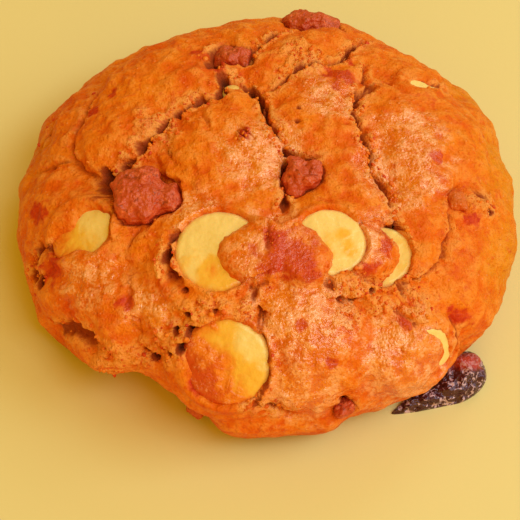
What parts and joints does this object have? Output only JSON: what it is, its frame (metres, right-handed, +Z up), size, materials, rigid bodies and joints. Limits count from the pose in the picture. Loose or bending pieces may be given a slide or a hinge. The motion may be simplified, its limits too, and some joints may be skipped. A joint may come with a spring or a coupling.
{
  "type": "speculoos cookie",
  "caption": "Thick round drop cookie of cracked golden dough with white chocolate buttons and spiced biscuit pieces baked into its domed top, flat underneath.",
  "frame": {"origin": "middle of the flat underside, at the bottom centre of the cookie's box", "axes": "+Z up out of the domed top, +X to the right of the picture, +Y away from the viewer of the picture"},
  "size_m": [0.0952, 0.0926, 0.0325],
  "materials": {
    "dough": "baked crust, golden orange with browned lips, lightly oily",
    "white_chocolate": "smooth cream, browned in places",
    "spiced_biscuit": "granular red-brown crumb",
    "dark_melt": "wet, dark purple-brown"
  },
  "bodies": {
    "root": {"dough": "dough", "button_left_of_middle": "white_chocolate", "button_right_of_middle": "white_chocolate", "button_under_flap": "white_chocolate", "button_front": "white_chocolate", "button_front_right": "white_chocolate", "button_left": "white_chocolate", "button_back_right": "white_chocolate", "button_in_crack": "white_chocolate", "biscuit_left": "spiced_biscuit", "biscuit_middle": "spiced_biscuit", "biscuit_back": "spiced_biscuit", "biscuit_rim": "spiced_biscuit", "biscuit_right": "spiced_biscuit", "biscuit_front": "spiced_biscuit", "biscuit_foot": "spiced_biscuit", "melted_piece": "dark_melt"}
  },
  "joints": []
}
